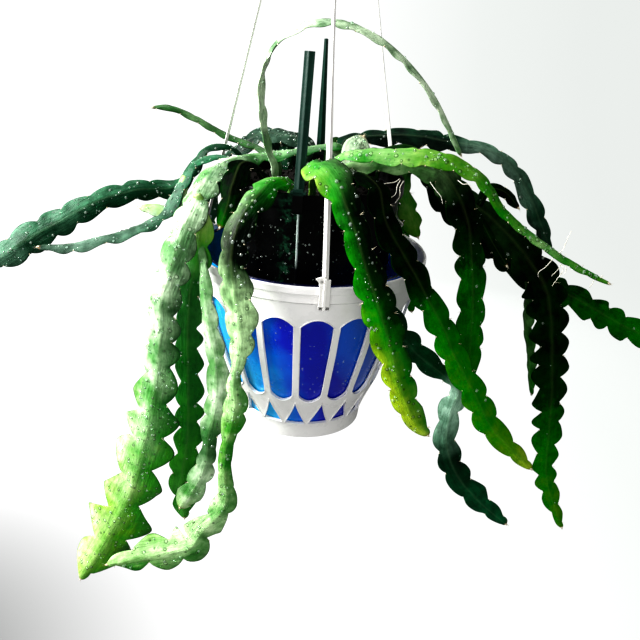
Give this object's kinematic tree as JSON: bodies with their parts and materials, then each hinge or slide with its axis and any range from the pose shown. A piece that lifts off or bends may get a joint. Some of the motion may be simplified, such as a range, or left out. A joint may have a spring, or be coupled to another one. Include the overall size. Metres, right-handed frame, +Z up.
{
  "type": "potted hanging flat-stemmed epiphytic cactus",
  "caption": "Flat scalloped cactus stems trail from a black nursery pot wedged in a white openwork hanging planter with a blue liner, on a plastic hanger with a hook.",
  "frame": {"origin": "the point inside the hook's loop where it hangs; the planter's rim plane lies 455 mm below it", "axes": "+Z up, -Y towards the viewer of the picture, +X to the viewer's right"},
  "size_m": [0.6167, 0.2561, 0.7739],
  "materials": {
    "planter_white": "glossy white moulded plastic",
    "liner_blue": "translucent glossy royal blue plastic",
    "nursery_black": "wet black thin plastic",
    "soil": "damp dark potting soil",
    "hanger_white": "satin white plastic",
    "upright_dark": "satin dark green plastic",
    "stem_green": "waxy wet deep green skin",
    "stem_young": "waxy yellow-green skin",
    "stem_pale": "waxy wet light green skin"
  },
  "bodies": {
    "root": {"planter": "planter_white", "liner": "liner_blue", "nursery_pot": "nursery_black", "soil": "soil", "hanger_hook": "hanger_white", "hanger_arm_front": "hanger_white", "hanger_arm_right": "hanger_white", "hanger_arm_left": "hanger_white", "upright_front": "upright_dark", "upright_back": "upright_dark", "stem_left_high": "stem_green", "stem_left_low": "stem_pale", "stem_left_whip": "stem_young", "stem_arch": "stem_pale", "stem_left_front": "stem_pale", "stem_front_left": "stem_green", "stem_front_main": "stem_green", "stem_front_right": "stem_green", "stem_front_hidden": "stem_green", "stem_right_top": "stem_green", "stem_right_whip": "stem_young", "stem_right_far": "stem_green", "stem_right_out": "stem_green", "stem_right_back": "stem_green", "stem_back_right": "stem_green", "stem_back_left": "stem_green", "stem_back_mid": "stem_green", "stem_crown_pale": "stem_pale", "stem_crown_left": "stem_green", "stem_rear_centre": "stem_green", "stem_rear_right": "stem_green"}
  },
  "joints": []
}
